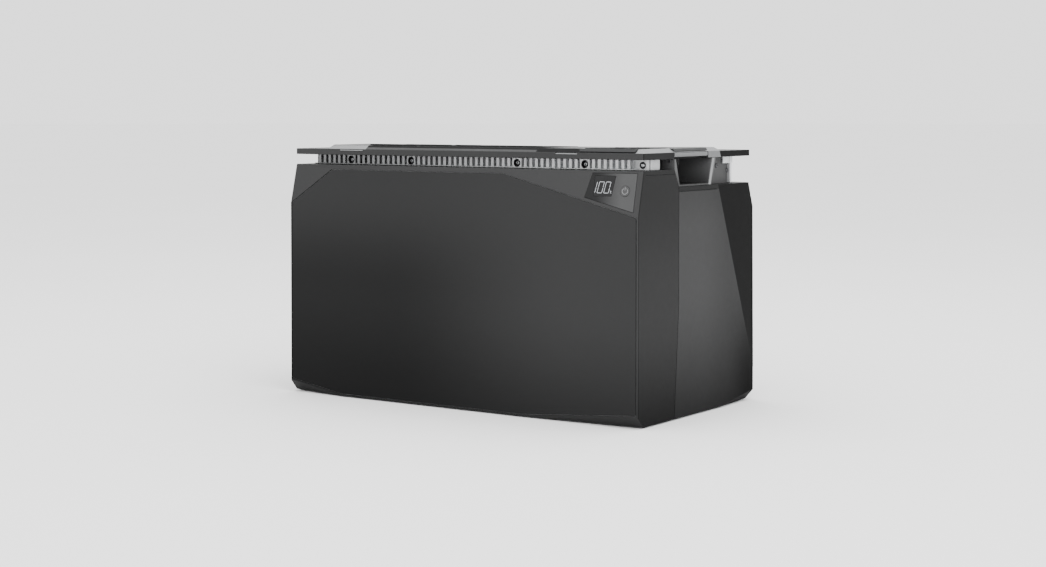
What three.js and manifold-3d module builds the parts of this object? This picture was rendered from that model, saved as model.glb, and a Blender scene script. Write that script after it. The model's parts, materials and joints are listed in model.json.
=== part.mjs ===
// Wide, low lithium battery pack for rack or floor use.
// Millimetres, +Z up, +X to the right, front face towards -Y, origin at the bottom centre.
import * as THREE from 'three';
import { ConvexGeometry } from 'three/addons/geometries/ConvexGeometry.js';
import { mergeVertices } from 'three/addons/utils/BufferGeometryUtils.js';
import Module from 'manifold-3d';

const wasm = await Module();
wasm.setup();

// ---------------------------------------------------------------- driving dimensions
const WIDTH = 482.6;
const DEPTH = 260;
const FOOT_LIFT = 1.4;
const SIDE_TOP = 252.4;
const FRONT_TOP = 271.4;
const PLATE_BOTTOM = 283;
const PLATE_TOP = 290;
const DECK_TOP = 294.2;
const WALL = 3;
const GAP = 0.3;
const SEAM = 0.8;

const HALF_W = WIDTH / 2;
const HALF_D = DEPTH / 2;

// Corner facets of the case: they lean back from the front plane to the corner line.
const LEAN = 11;
const CORNER_Y = HALF_D - LEAN;
const FACET = {
  leftSeam: [224.6, -168.5],     // height at the left edge, x at the front top edge
  rightSeam: [223.3, 55],         // height at the right edge, x at the front top edge
  leftFoot: [14.3, -164.6],      // height at the left edge, x at the bottom edge
  rightFoot: [13, 92.3],         // height at the right edge, x at the bottom edge
};

// The slanted facet behind each side wall leans in by this much.
const REAR_LEAN = 1.6;

// Line between the front cover and the side panels, as [y, z] from bottom to top.
const SIDE_SEAM = [[-54.3, FOOT_LIFT], [-45.1, 120], [-45.1, 250], [-54, FRONT_TOP]];

// Neck under the top plate.
const NECK_HALF_W = 226;
const NECK_HALF_D = 101;
const FIN_DEPTH = 8;
const HOUSING_HALF_D = NECK_HALF_D - FIN_DEPTH;
const HOUSING_TOP = PLATE_BOTTOM - GAP;
const HOUSING_BOTTOM = 245;

// Fins: groups of ribs with a screw boss between two groups.
const FIN_PITCH = 7.44;
const FIN_WIDTH = 3.7;
const FIN_GROUPS = [6, 10, 18, 10, 7];
// The tooth that closes each comb, and how far the comb runs to either side.
const FRONT_COMB = { tooth: 229.4, width: 9.4, left: 227.5, right: 231 };
const BACK_COMB = { tooth: 221.6, width: 9, left: 229.4, right: 229.4 };
const END_PAD = { x: 234.4, y: [-93.2, -73.8] };
const SCREW_SEAT = { radius: 4.6, depth: 4 };
const BOSS_STEP = 1.5 * FIN_PITCH;
const BOSS_WIDTH = 12.4;

// Top plate and deck.
const PLATE_HALF_D = CORNER_Y;
const DECK_CUT_X = 192;
const DECK_CUT_Y = 51;
const NOTCHES = [[-174, -139], [130, 158]];
const LOBE_X = [160, 231];
const GRIP_Y = [-54, 20];

// Handle frames in the two ends.
const FRAME_INNER_X = 196;
const FRAME_TOP_Y = [-53.7, 38];
const FRAME_BOTTOM_Y = [-44.8, 29];
const POCKET_TOP_Y = [-51.5, 29];
const POCKET_BOTTOM_Y = [-42.6, 20];

// Wells under the deck covers: [x0, x1, y0, y1].
const WELL_FLOOR = 262;
const WELLS = {
  switch: [-134, -78, -88, -44],
  port: [-60, 100, -88, -44],
  terminal: [166, 221, -88.5, -58],
};

// Deck covers: extent in x, front edge, hinge line, top height at the front and at the hinge.
const COVERS = {
  switch: { x: [-140, -72], front: -106, hinge: -36, top: 296.2, back: 294.4 },
  port: { x: [-66, 106], front: -106, hinge: -36, top: 295.8, back: 294 },
  terminal: { x: [163, 228], front: -115, hinge: -49, top: 295, back: 294 },
};
const COVER_THICKNESS = 1.8;
const HINGE_Z = 292.5;
const BARREL_R = 2.3;
const PIN_R = 1.2;
const BORE_R = 1.3;
const LUG_WIDTH = 8;
const HINGE_ROOM = 4.9;

// Cells: two tiers of eight.
const CELL = { thickness: 50, width: 159, height: 118, pad: 2 };
const CELLS_PER_TIER = 8;
const BASE_TOP = 5.3;

// ---------------------------------------------------------------- materials
function surface(color, roughness, metalness) {
  return new THREE.MeshStandardMaterial({ color, roughness, metalness });
}
const graphite = () => surface(0x3a3c3f, 0.55, 0.25);
const panelGraphite = () => surface(0x34363a, 0.5, 0.25);
const darkPlastic = () => surface(0x26282b, 0.6, 0);
const castAluminium = () => surface(0xb9bcc0, 0.4, 0.9);
const satinTrim = () => surface(0x9a9da1, 0.45, 0.6);
const rubber = () => surface(0x1d1e20, 0.85, 0);
const steel = () => surface(0x8d9094, 0.4, 0.9);
const brass = () => surface(0xb08d4a, 0.35, 0.9);
const circuitBoard = () => surface(0x1f5a3a, 0.6, 0);
const cellFilm = () => surface(0x2a5fa8, 0.4, 0);
const glass = () => surface(0x0c0d10, 0.1, 0);
const gripGrey = () => surface(0x8f9296, 0.7, 0);

// ---------------------------------------------------------------- geometry helpers
function block(x0, x1, y0, y1, z0, z1) {
  const box = new THREE.BoxGeometry(x1 - x0, y1 - y0, z1 - z0);
  return box.translate((x0 + x1) / 2, (y0 + y1) / 2, (z0 + z1) / 2);
}

function outline(points) {
  return new THREE.Shape(points.map(([a, b]) => new THREE.Vector2(a, b)));
}

// Prism with an [x, y] outline, from z0 to z1.
function prismZ(points, z0, z1) {
  const body = new THREE.ExtrudeGeometry(outline(points), { depth: z1 - z0, bevelEnabled: false });
  return body.translate(0, 0, z0);
}

// Prism with a [y, z] outline, from x0 to x1.
function prismX(points, x0, x1) {
  const body = prismZ(points, x0, x1);
  const basis = new THREE.Matrix4().makeBasis(
    new THREE.Vector3(0, 1, 0), new THREE.Vector3(0, 0, 1), new THREE.Vector3(1, 0, 0));
  return body.applyMatrix4(basis);
}

// Prism with an [x, z] outline, from y0 to y1.
function prismY(points, y0, y1) {
  const body = prismZ(points.map(([x, z]) => [z, x]), y0, y1);
  const basis = new THREE.Matrix4().makeBasis(
    new THREE.Vector3(0, 0, 1), new THREE.Vector3(1, 0, 0), new THREE.Vector3(0, 1, 0));
  return body.applyMatrix4(basis);
}

function roundZ(x, y, radius, z0, z1, sides = 24) {
  const body = new THREE.CylinderGeometry(radius, radius, z1 - z0, sides).rotateX(Math.PI / 2);
  return body.translate(x, y, (z0 + z1) / 2);
}

function roundY(x, z, radius, y0, y1, sides = 24) {
  const body = new THREE.CylinderGeometry(radius, radius, y1 - y0, sides);
  return body.translate(x, (y0 + y1) / 2, z);
}

function roundX(y, z, radius, x0, x1, sides = 16) {
  const body = new THREE.CylinderGeometry(radius, radius, x1 - x0, sides).rotateZ(Math.PI / 2);
  return body.translate((x0 + x1) / 2, y, z);
}

function hull(points) {
  return new ConvexGeometry(points.map((p) => new THREE.Vector3(...p)));
}

// Moves every side of a convex outline inwards; a negative distance moves it outwards.
function inset(points, distance) {
  const area = points.reduce((sum, [x, y], i) => {
    const [u, v] = points[(i + 1) % points.length];
    return sum + x * v - u * y;
  }, 0);
  const turn = Math.sign(area);
  const sides = points.map(([x, y], i) => {
    const [u, v] = points[(i + 1) % points.length];
    const length = Math.hypot(u - x, v - y);
    const normal = [-turn * (v - y) / length, turn * (u - x) / length];
    return { normal, offset: normal[0] * x + normal[1] * y + distance };
  });
  return points.map((_, i) => {
    const a = sides[(i + points.length - 1) % points.length];
    const b = sides[i];
    const det = a.normal[0] * b.normal[1] - a.normal[1] * b.normal[0];
    return [
      (a.offset * b.normal[1] - b.offset * a.normal[1]) / det,
      (b.offset * a.normal[0] - a.offset * b.normal[0]) / det,
    ];
  });
}

function toSolid(geometry) {
  const bare = geometry.clone();
  bare.deleteAttribute('normal');
  bare.deleteAttribute('uv');
  const merged = mergeVertices(bare, 1e-4);
  const mesh = new wasm.Mesh({
    numProp: 3,
    vertProperties: new Float32Array(merged.attributes.position.array),
    triVerts: new Uint32Array(merged.index.array),
  });
  return new wasm.Manifold(mesh);
}

function toGeometry(solid) {
  const mesh = solid.getMesh();
  const geometry = new THREE.BufferGeometry();
  geometry.setAttribute('position', new THREE.BufferAttribute(new Float32Array(mesh.vertProperties), 3));
  geometry.setIndex(new THREE.BufferAttribute(new Uint32Array(mesh.triVerts), 1));
  geometry.computeVertexNormals();
  return geometry;
}

const join = (...parts) => toGeometry(parts.map(toSolid).reduce((a, b) => a.add(b)));
const cut = (body, ...tools) =>
  toGeometry(tools.map(toSolid).reduce((rest, tool) => rest.subtract(tool), toSolid(body)));
const common = (a, b) => toGeometry(toSolid(a).intersect(toSolid(b)));

const battery = new THREE.Group();

function add(name, geometry, material, parent = battery) {
  const mesh = new THREE.Mesh(geometry, material);
  mesh.name = name;
  parent.add(mesh);
  return mesh;
}

function mirrorX(geometry) {
  const mirrored = toSolid(geometry).mirror([1, 0, 0]);
  return toGeometry(mirrored);
}

function turnHalf(geometry) {
  return geometry.clone().rotateZ(Math.PI);
}

// ---------------------------------------------------------------- case
// Front part of the case as a convex body; a positive inset gives the matching inner space.
function frontBody(shrink) {
  const x = HALF_W - shrink;
  const y = -(HALF_D - shrink);
  const cornerY = -(CORNER_Y - shrink);
  const low = shrink ? -FOOT_LIFT : FOOT_LIFT;
  const high = FRONT_TOP - shrink;
  const back = -30;
  return hull([
    [-x, y, FACET.leftSeam[0]], [FACET.leftSeam[1] + shrink, y, high],
    [FACET.rightSeam[1] - shrink, y, high], [x, y, FACET.rightSeam[0]],
    [x, y, FACET.rightFoot[0]], [FACET.rightFoot[1], y, low],
    [FACET.leftFoot[1], y, low], [-x, y, FACET.leftFoot[0]],
    [-x, cornerY, low], [x, cornerY, low], [-x, cornerY, high], [x, cornerY, high],
    [-x, back, low], [x, back, low], [-x, back, high], [x, back, high],
  ]);
}

// Rear part of the case: side walls with a shallow slanted facet, back wall, lower shoulder.
function rearBody(shrink) {
  const x = HALF_W - shrink;
  const y = HALF_D - shrink;
  const low = shrink ? -FOOT_LIFT : FOOT_LIFT;
  const high = SIDE_TOP - shrink;
  const points = [];
  for (const s of [-1, 1]) {
    points.push(
      [s * x, -60, low], [s * x, -60, high],
      [s * x, 43.3, high], [s * x, y, 36],
      [s * (x - REAR_LEAN), y, 224], [s * (x - REAR_LEAN), y - 10.5, high],
      [s * x, 48, low], [s * x, y, 12], [s * (x - 6), y - 8, low],
      [s * 164, y, low], [s * 168, y, high]);
  }
  return hull(points);
}

function behindSeam(offset) {
  const line = SIDE_SEAM.map(([y, z]) => [y + offset, z]);
  const [firstY] = line[0];
  const [lastY] = line[line.length - 1];
  return prismX([[firstY, -10], ...line.slice(0, -1), [lastY, FRONT_TOP + 0.4], [lastY, 400],
    [200, 400], [200, -10]],
    -HALF_W - 10, HALF_W + 10);
}

const PANEL_OUTLINE = [
  [-238.4, 16.2], [-164, 3.8], [92, 3.8], [238.4, 15],
  [238.4, 222.1], [68.5, 265.6], [-176.5, 265.6], [-238.4, 225.9],
];
const PANEL_THICKNESS = 1.4;
const PANEL_RECESS = 1.7;

// Frame of the upper right corner facet, which carries the display.
function facetFrame() {
  const a = new THREE.Vector3(HALF_W, -HALF_D, FACET.rightSeam[0]);
  const b = new THREE.Vector3(FACET.rightSeam[1], -HALF_D, FRONT_TOP);
  const c = new THREE.Vector3(HALF_W, -CORNER_Y, FRONT_TOP);
  const normal = c.clone().sub(a).cross(b.clone().sub(a)).normalize();
  if (normal.y > 0) normal.negate();
  const across = new THREE.Vector3(-normal.y, normal.x, 0).normalize();
  const up = normal.clone().cross(across);
  const centre = new THREE.Vector3(208, 0, 250);
  centre.y = a.y - (normal.x * (centre.x - a.x) + normal.z * (centre.z - a.z)) / normal.y;
  return new THREE.Matrix4().makeBasis(across, up, normal).setPosition(centre);
}
const FACET_FRAME = facetFrame();
const onFacet = (geometry) => geometry.applyMatrix4(FACET_FRAME);

// Display pieces, drawn in the facet's own plane: [across, up], heights along its normal.
const BEZEL = [[-33.8, -7.2], [26.2, -22.2], [26.6, 19.2], [-26.8, 19.2]];
const LENS = [[-23.1, -5.6], [-1.5, -5.6], [1.7, 16.4], [-23.7, 16.4]];
const BUTTON_AT = [14.3, 0.2];
const BUTTON_R = 5.6;
const BUTTON_PROUD = 0.4;
const BEZEL_PROUD = 0.3;
const BEZEL_THICKNESS = 1.8;

function frontCover() {
  const panelRecess = prismY(inset(PANEL_OUTLINE, -SEAM), -HALF_D - 1, -HALF_D + PANEL_RECESS);
  const neckHole = block(-NECK_HALF_W - 4, NECK_HALF_W + 4, -NECK_HALF_D - 0.4, 0, SIDE_TOP, 300);
  const bezelSeat = onFacet(prismZ(inset(BEZEL, -GAP), BEZEL_PROUD - BEZEL_THICKNESS - GAP, 6));
  const bezelHole = onFacet(prismZ(inset(BEZEL, 2.5), -12, 6));
  const buttonHole = onFacet(roundZ(...BUTTON_AT, BUTTON_R + 2, -12, 6));
  const lipGroove = block(HALF_W - SEAM, HALF_W + 5, -CORNER_Y + 5, 0, 266.2, 267);
  return cut(frontBody(0), frontBody(WALL), neckHole, behindSeam(0), panelRecess, bezelSeat, bezelHole,
    buttonHole, lipGroove, mirrorX(lipGroove));
}

function frontPanel() {
  return prismY(PANEL_OUTLINE, -HALF_D, -HALF_D + PANEL_THICKNESS);
}

const BACK_SEAM_Y = 124.6;

function sidePanel() {
  const shell = cut(rearBody(0), rearBody(WALL), block(-300, NECK_HALF_W + 0.4, -200, 200, -10, 400));
  const rear = block(0, 300, BACK_SEAM_Y, 200, -10, 400);
  const lipGroove = block(HALF_W - SEAM, HALF_W + 5, -100, 40, 247, 247.8);
  const front = cut(block(0, 300, -200, 200, -10, 400), behindSeam(SEAM));
  return cut(shell, rear, lipGroove, front);
}

function backCover() {
  const shell = cut(rearBody(0), rearBody(WALL), block(-300, 300, -200, NECK_HALF_D + 0.4, -10, 400));
  const middle = block(-NECK_HALF_W, NECK_HALF_W, 0, 200, -10, 400);
  const wall = block(-300, 300, BACK_SEAM_Y + SEAM, 200, -10, 400);
  return cut(common(shell, join(middle, wall)), roundY(...VALVE_AT, VALVE_R + GAP, 100, 140));
}

const VALVE_AT = [-150, 190];
const VALVE_R = 13;

function reliefValve() {
  const disc = roundY(...VALVE_AT, VALVE_R, HALF_D - 3.4, HALF_D - 0.4);
  const stem = roundY(...VALVE_AT, VALVE_R - 3, HALF_D - 10, HALF_D - 3);
  const slots = [-5, 0, 5].map((dz) =>
    block(VALVE_AT[0] - 7, VALVE_AT[0] + 7, HALF_D - 1.4, HALF_D,
      VALVE_AT[1] + dz - 0.8, VALVE_AT[1] + dz + 0.8));
  return cut(join(disc, stem), ...slots);
}

const BASE_OUTLINE = [[-237.5, -115], [-165, -126.4], [92, -126.4], [237.5, -115],
  [237.5, 46], [231.5, 118], [164, 126], [-164, 126], [-231.5, 118], [-237.5, 46]];

function basePlate() {
  return prismZ(BASE_OUTLINE, FOOT_LIFT, BASE_TOP);
}

// Corner feet: low pads whose ends slope up to the base.
function foot(x0, x1, y0, y1) {
  const slope = 3;
  return hull([
    [x0, y0, FOOT_LIFT], [x1, y0, FOOT_LIFT], [x1, y1, FOOT_LIFT], [x0, y1, FOOT_LIFT],
    [x0 + slope, y0 + slope, 0], [x1 - slope, y0 + slope, 0],
    [x1 - slope, y1 - slope, 0], [x0 + slope, y1 - slope, 0],
  ]);
}

function addCase() {
  add('base_plate', basePlate(), steel());
  add('front_cover', frontCover(), graphite());
  add('front_panel', frontPanel(), panelGraphite());
  add('back_cover', backCover(), graphite());
  add('right_side_panel', sidePanel(), graphite());
  add('left_side_panel', mirrorX(sidePanel()), graphite());
  add('relief_valve', reliefValve(), darkPlastic());
  const reach = 237;
  add('foot_front_left', foot(-reach, -168, -114, -58), rubber());
  add('foot_front_right', foot(100, reach, -114, -58), rubber());
  add('foot_back_left', foot(-231, -120, 52, 116), rubber());
  add('foot_back_right', foot(120, 231, 52, 116), rubber());
}

// ---------------------------------------------------------------- neck
function wellBody([x0, x1, y0, y1]) {
  const wall = 2.4;
  return block(x0 - wall, x1 + wall, y0 - wall, y1 + wall, WELL_FLOOR - wall, HOUSING_TOP);
}

function wellSpace([x0, x1, y0, y1], top) {
  return block(x0, x1, y0, y1, WELL_FLOOR, top);
}

function upperHousing() {
  const outer = block(-NECK_HALF_W, NECK_HALF_W, -HOUSING_HALF_D, HOUSING_HALF_D,
    HOUSING_BOTTOM, HOUSING_TOP);
  const inner = block(-NECK_HALF_W + WALL, NECK_HALF_W - WALL, -HOUSING_HALF_D + WALL,
    HOUSING_HALF_D - WALL, HOUSING_BOTTOM - 10, HOUSING_TOP - WALL);
  const wells = Object.values(WELLS);
  const withWells = join(cut(outer, inner), ...wells.map(wellBody));
  const frameSpace = block(FRAME_INNER_X - GAP, 300, FRAME_TOP_Y[0] - GAP, FRAME_TOP_Y[1] + GAP, 200, 300);
  const spaces = wells.map((well) => wellSpace(well, 300));
  return cut(withWells, ...spaces, frameSpace, mirrorX(frameSpace));
}

function finCentres() {
  const total = FIN_GROUPS.reduce((sum, count) => sum + (count - 1) * FIN_PITCH, 0)
    + (FIN_GROUPS.length - 1) * 2 * BOSS_STEP;
  const fins = [];
  const bosses = [];
  let x = -(total + FIN_PITCH) / 2;
  FIN_GROUPS.forEach((count, group) => {
    if (group > 0) {
      bosses.push(x + BOSS_STEP);
      x += 2 * BOSS_STEP;
    }
    for (let i = 0; i < count; i += 1) fins.push(x + i * FIN_PITCH);
    x += (count - 1) * FIN_PITCH;
  });
  return { fins, bosses };
}

// Comb of ribs on a backing strip, with bosses for the screws and a wing round each end of the neck.
function heatSink(z0, comb, wings) {
  const z1 = HOUSING_TOP;
  const back = -HOUSING_HALF_D - GAP;
  const web = back - 1.6;
  const { fins, bosses } = finCentres();
  const outlinePoints = [[-comb.left, back], [-comb.left, web]];
  const teeth = [...fins.map((x) => [x, FIN_WIDTH]), ...bosses.map((x) => [x, BOSS_WIDTH])]
    .sort((a, b) => a[0] - b[0]);
  teeth.push([comb.tooth, comb.width]);
  for (const [x, width] of teeth) {
    outlinePoints.push([x - width / 2, web], [x - width / 2, -NECK_HALF_D],
      [x + width / 2, -NECK_HALF_D], [x + width / 2, web]);
  }
  outlinePoints.push([comb.right, web], [comb.right, back]);
  const ribs = prismZ(outlinePoints, z0, z1);
  const rail = block(-comb.left, comb.right, -NECK_HALF_D - 0.2, web + 0.1, z0, z0 + 1);
  const seats = bosses.map((x) => roundY(x, (FRONT_TOP + z1) / 2, SCREW_SEAT.radius,
    -NECK_HALF_D - 1, -NECK_HALF_D + SCREW_SEAT.depth, 16));
  return cut(join(ribs, rail, ...wings), ...seats);
}

function frontHeatSink() {
  const z0 = FRONT_TOP + GAP;
  const inner = NECK_HALF_W + GAP;
  const skin = block(inner, inner + 1.2, -HOUSING_HALF_D - 3, END_PAD.y[1], z0, HOUSING_TOP);
  const pad = block(inner, END_PAD.x, ...END_PAD.y, z0, HOUSING_TOP);
  return heatSink(z0, FRONT_COMB, [skin, pad, mirrorX(skin)]);
}

function backHeatSink() {
  const inner = NECK_HALF_W + GAP;
  const ear = block(inner, inner + 2.2, -NECK_HALF_D, -79, 275, HOUSING_TOP);
  const post = block(inner, inner + 1, -NECK_HALF_D, -93.6, SIDE_TOP + GAP, 275.1);
  const wing = join(ear, post);
  return turnHalf(heatSink(SIDE_TOP + GAP, BACK_COMB, [wing, mirrorX(wing)]));
}

function handleFrame() {
  const bottom = SIDE_TOP + GAP;
  const top = HOUSING_TOP;
  const seamTop = FRONT_TOP;
  const outer = prismX([[FRAME_TOP_Y[0], top], [FRAME_TOP_Y[0], seamTop], [FRAME_BOTTOM_Y[0], bottom],
    [FRAME_BOTTOM_Y[1], bottom], [FRAME_TOP_Y[1], top]], FRAME_INNER_X, HALF_W);
  const pocket = prismX([[POCKET_TOP_Y[0], top + 1], [POCKET_BOTTOM_Y[0], bottom + 2.2],
    [POCKET_BOTTOM_Y[1], bottom + 2.2], [POCKET_TOP_Y[1], top + 1]], FRAME_INNER_X + 4, HALF_W + 5);
  return cut(outer, pocket);
}

function addNeck() {
  add('upper_housing', upperHousing(), graphite());
  add('front_heat_sink', frontHeatSink(), castAluminium());
  add('back_heat_sink', backHeatSink(), castAluminium());
  add('right_handle_frame', handleFrame(), graphite());
  add('left_handle_frame', mirrorX(handleFrame()), graphite());
}

// ---------------------------------------------------------------- top plate and deck
// The raised deck is a band along the front with a block at its right end.
const DECK_BACK = -14;
const DECK_LEFT = -215;
const DECK_OUTLINE = [
  [-DECK_CUT_X, -PLATE_HALF_D], [HALF_W, -PLATE_HALF_D], [HALF_W, DECK_CUT_Y],
  [226, DECK_CUT_Y], [150, DECK_BACK], [DECK_LEFT, DECK_BACK], [DECK_LEFT, -90],
];
const DECK_BAND = [
  [-DECK_CUT_X, -PLATE_HALF_D], [HALF_W, -PLATE_HALF_D], [HALF_W, DECK_BACK],
  [DECK_LEFT, DECK_BACK], [DECK_LEFT, -90],
];
const DECK_BLOCK = [[120, -70], [HALF_W, -70], [HALF_W, DECK_CUT_Y], [226, DECK_CUT_Y], [120, -39.7]];
const TRIM_BEVEL = 6;
const TRIM_WIDTH = 10;
const GRIP_DEPTH = 6;

function wellWindows(z0, z1) {
  return Object.values(WELLS).map(([x0, x1, y0, y1]) => block(x0, x1, y0, y1, z0, z1));
}

function notchSpace([x0, x1], offset) {
  const y = -PLATE_HALF_D;
  return prismX([[y - 5, 287.6 + offset], [y, 287.6 + offset], [y + 9, PLATE_TOP + offset],
    [y + 9, PLATE_TOP + 5], [y - 5, PLATE_TOP + 5]], x0, x1);
}

function topPlate() {
  const corner = 0.8;
  const corners = (z) => [-1, 1].flatMap((sx) => [-1, 1].flatMap((sy) => [
    [sx * HALF_W, sy * (PLATE_HALF_D - corner), z],
    [sx * (HALF_W - corner), sy * PLATE_HALF_D, z],
  ]));
  const sheet = hull([...corners(PLATE_BOTTOM), ...corners(PLATE_TOP)]);
  const gripSeat = block(HALF_W - GRIP_DEPTH - GAP, HALF_W + 5, GRIP_Y[0], GRIP_Y[1], 280, 300);
  const fingerSlot = block(FRAME_INNER_X + 6, HALF_W - GRIP_DEPTH - 12, -44, 14, 280, 300);
  const ends = [gripSeat, fingerSlot];
  const grooves = [30, 88].map((y) => block(-190, 190, y - 1.5, y + 1.5, PLATE_TOP - 0.8, 300));
  return cut(sheet, ...ends, ...ends.map(mirrorX), ...wellWindows(280, 300), ...grooves,
    ...NOTCHES.map((notch) => notchSpace(notch, 0)));
}

// The bevelled rim of the deck is open where a dark lobe of the deck reaches the edge.
function lobeSpaces(clearance) {
  const floor = PLATE_TOP + 0.9;
  const c = clearance;
  return [
    block(LOBE_X[0] - c, LOBE_X[1] + c, -PLATE_HALF_D - 5, -PLATE_HALF_D + TRIM_WIDTH + 1, floor - c, 400),
    block(HALF_W - TRIM_WIDTH - 1, HALF_W + 5, GRIP_Y[0] - c, GRIP_Y[1] + c, floor - c, 400),
  ];
}

function deckBody(edge, bevel, top) {
  return join(...[DECK_BAND, DECK_BLOCK].map((points) => {
    const lower = inset(points, edge).map(([x, y]) => [x, y, PLATE_TOP]);
    const upper = inset(points, edge + bevel).map(([x, y]) => [x, y, top]);
    return hull([...lower, ...upper]);
  }));
}

function deckTrim() {
  const middle = prismZ(inset(DECK_OUTLINE, TRIM_WIDTH), 280, 300);
  const fillers = NOTCHES.map(([x0, x1]) => {
    const y = -PLATE_HALF_D;
    return prismX([[y, 288], [y, PLATE_TOP - 1], [y + 7, PLATE_TOP + 1], [y + 9, PLATE_TOP + 1],
      [y + 9, PLATE_TOP + GAP]], x0 + GAP, x1 - GAP);
  });
  return cut(join(deckBody(0.4, TRIM_BEVEL, DECK_TOP), ...fillers), middle, ...lobeSpaces(0));
}

function coverSeat({ x: [x0, x1], front, hinge }) {
  const edge = GAP + 0.2;
  const seat = block(x0 - edge, x1 + edge, front - edge, hinge + 3, PLATE_TOP + 1.2, 400);
  const hingeSpace = block(x0 - edge, x1 + edge, hinge - 4, hinge + HINGE_ROOM, PLATE_TOP - 0.5, 400);
  return [seat, hingeSpace];
}

function lugCentres([x0, x1]) {
  const quarter = (x1 - x0) / 4;
  return [x0 + quarter, x1 - quarter];
}

function hingeLugs({ x, hinge }) {
  return lugCentres(x).map((centre) => {
    const [x0, x1] = [centre - LUG_WIDTH / 2, centre + LUG_WIDTH / 2];
    const foot = block(x0, x1, hinge - BARREL_R, hinge + HINGE_ROOM + 0.2, PLATE_TOP + 0.1, HINGE_Z);
    const eye = roundX(hinge, HINGE_Z, BARREL_R, x0, x1);
    return join(foot, eye);
  });
}

function pinBore({ x: [x0, x1], hinge }) {
  return roundX(hinge, HINGE_Z, BORE_R, x0 - 1.2, x1 + 1.2);
}

function topDeck() {
  const covers = Object.values(COVERS);
  const field = prismZ(inset(DECK_OUTLINE, TRIM_WIDTH + GAP), PLATE_TOP, DECK_TOP);
  const lobes = lobeSpaces(-GAP).map((space) => common(space, deckBody(0.2, 2, DECK_TOP)));
  const sockets = cut(join(field, ...lobes), ...covers.flatMap(coverSeat), ...wellWindows(280, 300));
  return cut(join(sockets, ...covers.flatMap(hingeLugs)), ...covers.map(pinBore));
}

function gripBar() {
  const x1 = HALF_W;
  const x0 = HALF_W - GRIP_DEPTH;
  const c = 1.2;
  const z0 = PLATE_BOTTOM + 2;
  const z1 = PLATE_TOP - 0.1;
  return prismY([[x0, z0], [x1 - c, z0], [x1, z0 + c], [x1, z1 - c], [x1 - c, z1], [x0, z1]],
    GRIP_Y[0] + GAP, GRIP_Y[1] - GAP);
}

// Lid that falls slightly towards its hinge, with a front lip and a hinge barrel along its back edge.
function deckCover({ x: [x0, x1], front, hinge, top, back }) {
  const slope = 2.2;
  const under = top - COVER_THICKNESS;
  const backUnder = back - COVER_THICKNESS;
  const lid = hull([
    [x0, front, under], [x1, front, under], [x1, hinge, backUnder], [x0, hinge, backUnder],
    [x0 + slope, front + slope, top], [x1 - slope, front + slope, top],
    [x1 - slope, hinge - 1, back], [x0 + slope, hinge - 1, back],
  ]);
  const barrel = roundX(hinge, HINGE_Z, BARREL_R, x0 + 0.3, x1 - 0.3);
  const lip = block(x0 + 4, x1 - 4, front + 1, front + 3, PLATE_TOP + 1.6, under + 0.4);
  const gaps = lugCentres([x0, x1]).map((centre) =>
    block(centre - LUG_WIDTH / 2 - 0.4, centre + LUG_WIDTH / 2 + 0.4, hinge - 3.4, hinge + 5, 280, 300));
  return cut(join(lid, barrel, lip), ...gaps, roundX(hinge, HINGE_Z, BORE_R, x0 - 5, x1 + 5));
}

function addTop() {
  add('top_plate', topPlate(), panelGraphite());
  add('top_deck', topDeck(), darkPlastic());
  add('deck_trim', deckTrim(), satinTrim());
  add('right_grip', gripBar(), gripGrey());
  add('left_grip', mirrorX(gripBar()), gripGrey());
  for (const [name, cover] of Object.entries(COVERS)) {
    const pin = roundX(cover.hinge, HINGE_Z, PIN_R, cover.x[0] - 0.9, cover.x[1] + 0.9, 16);
    add(`${name}_cover`, deckCover(cover), darkPlastic());
    add(`${name}_cover_pin`, pin, steel());
  }
}

// ---------------------------------------------------------------- display
function displayBezel() {
  const plate = prismZ(BEZEL, BEZEL_PROUD - BEZEL_THICKNESS, BEZEL_PROUD);
  const lensSeat = prismZ(inset(LENS, -0.15), BEZEL_PROUD - 1.1, 5);
  const lensHole = prismZ(inset(LENS, 2), -10, 5);
  const buttonHole = roundZ(...BUTTON_AT, BUTTON_R + 0.25, -10, 5, 32);
  return onFacet(cut(plate, lensSeat, lensHole, buttonHole));
}

function displayLens() {
  return onFacet(prismZ(LENS, BEZEL_PROUD - 0.9, BEZEL_PROUD - 0.05));
}

function displayBoard() {
  return onFacet(prismZ(inset(BEZEL, 4.5), -11, -9.4));
}

// The button's collar stays behind the bezel; its face stands just proud.
function powerButton() {
  const cap = roundZ(...BUTTON_AT, BUTTON_R, -6, BEZEL_PROUD + BUTTON_PROUD, 32);
  const collar = roundZ(...BUTTON_AT, BUTTON_R + 1.3, -6, BEZEL_PROUD - BEZEL_THICKNESS - GAP, 32);
  return onFacet(join(cap, collar));
}

function addDisplay() {
  add('display_bezel', displayBezel(), darkPlastic());
  add('display_lens', displayLens(), glass());
  add('display_board', displayBoard(), circuitBoard());
  add('power_button', powerButton(), darkPlastic());
}

// ---------------------------------------------------------------- connections in the wells
const BREAKER = { x: [-125, -87], y: [-84, -48], top: 281, pivotZ: 279.4, reach: 11 };

function breakerBody() {
  const { x: [x0, x1], y: [y0, y1], top } = BREAKER;
  const middleX = (x0 + x1) / 2;
  const middleY = (y0 + y1) / 2;
  const body = block(x0, x1, y0, y1, WELL_FLOOR, top);
  const slot = block(middleX - 7.5, middleX + 7.5, middleY - 12, middleY + 12, top - 7.5, top + 5);
  const terminals = [y0 + 3, y1 - 3].map((y) => roundZ(middleX, y, 2, top - 3, top + 5, 12));
  return cut(body, slot, ...terminals);
}

// Toggle at its "on" stop; it swings through twice the tilt to "off".
const TOGGLE_TILT = 30;

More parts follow.
